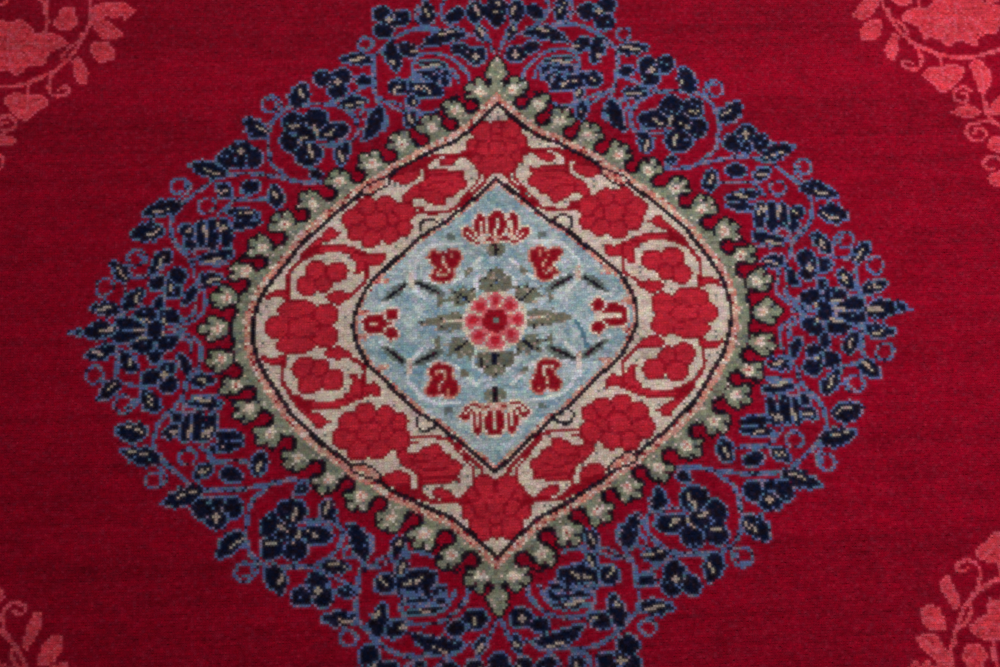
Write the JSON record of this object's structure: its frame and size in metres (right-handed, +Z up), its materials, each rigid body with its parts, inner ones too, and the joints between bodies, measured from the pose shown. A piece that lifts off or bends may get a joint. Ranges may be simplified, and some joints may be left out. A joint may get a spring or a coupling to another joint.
{
  "type": "persian rug cut length",
  "caption": "Flat cut length of hand-knotted medallion carpet, one piece of cotton foundation and short wool pile, laid with the pile up.",
  "frame": {"origin": "middle of the underside", "axes": "+X along the rows of knots, which is the longer side, +Y along the warps, +Z up out of the pile"},
  "size_m": [1, 0.8, 0.008],
  "materials": {
    "wool_pile": "short clipped wool pile, matte with a faint sheen"
  },
  "bodies": {
    "root": {"rug": "wool_pile"}
  },
  "joints": []
}
